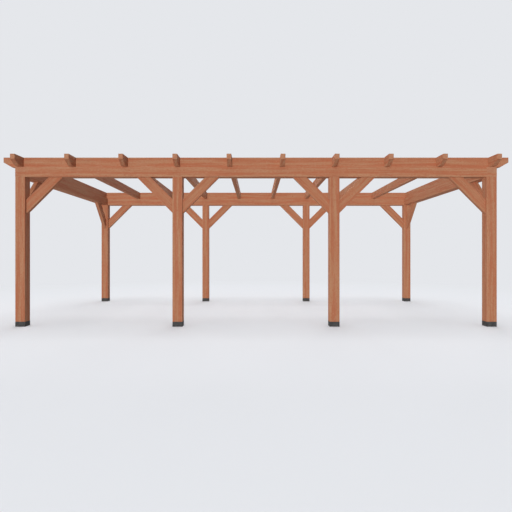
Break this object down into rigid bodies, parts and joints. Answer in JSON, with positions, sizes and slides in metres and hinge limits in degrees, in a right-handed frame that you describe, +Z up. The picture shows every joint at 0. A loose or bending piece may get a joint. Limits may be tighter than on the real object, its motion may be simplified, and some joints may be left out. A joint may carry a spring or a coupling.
{
  "type": "open timber patio cover",
  "caption": "Open timber frame for a patio: square posts on grey feet, knee braces, a ring of beams, and cross-lapped rafters with cut tails.",
  "frame": {"origin": "on the ground, under the middle of the plan", "axes": "+X to the right along the front, +Y from the front to the rear, +Z up"},
  "size_m": [7.667, 4.324, 2.562],
  "materials": {
    "timber": "planed softwood, reddish brown, matt",
    "foot_stone": "dark grey cast block, matt"
  },
  "bodies": {
    "root": {"post_feet_front": "foot_stone", "post_front_1": "timber", "post_front_2": "timber", "post_front_3": "timber", "post_front_4": "timber", "ring_beam_front": "timber", "top_beam_front": "timber", "post_feet_rear": "foot_stone", "post_rear_1": "timber", "post_rear_2": "timber", "post_rear_3": "timber", "post_rear_4": "timber", "ring_beam_rear": "timber", "top_beam_rear": "timber", "ring_beam_left": "timber", "ring_beam_right": "timber", "brace_front_1": "timber", "brace_front_2": "timber", "brace_front_3": "timber", "brace_front_4": "timber", "brace_front_5": "timber", "brace_front_6": "timber", "brace_rear_1": "timber", "brace_rear_2": "timber", "brace_rear_3": "timber", "brace_rear_4": "timber", "brace_rear_5": "timber", "brace_rear_6": "timber", "brace_left_1": "timber", "brace_left_2": "timber", "brace_right_1": "timber", "brace_right_2": "timber", "rafter_01": "timber", "rafter_02": "timber", "rafter_03": "timber", "rafter_04": "timber", "rafter_05": "timber", "rafter_06": "timber", "rafter_07": "timber", "rafter_08": "timber", "rafter_09": "timber", "rafter_10": "timber"}
  },
  "joints": []
}
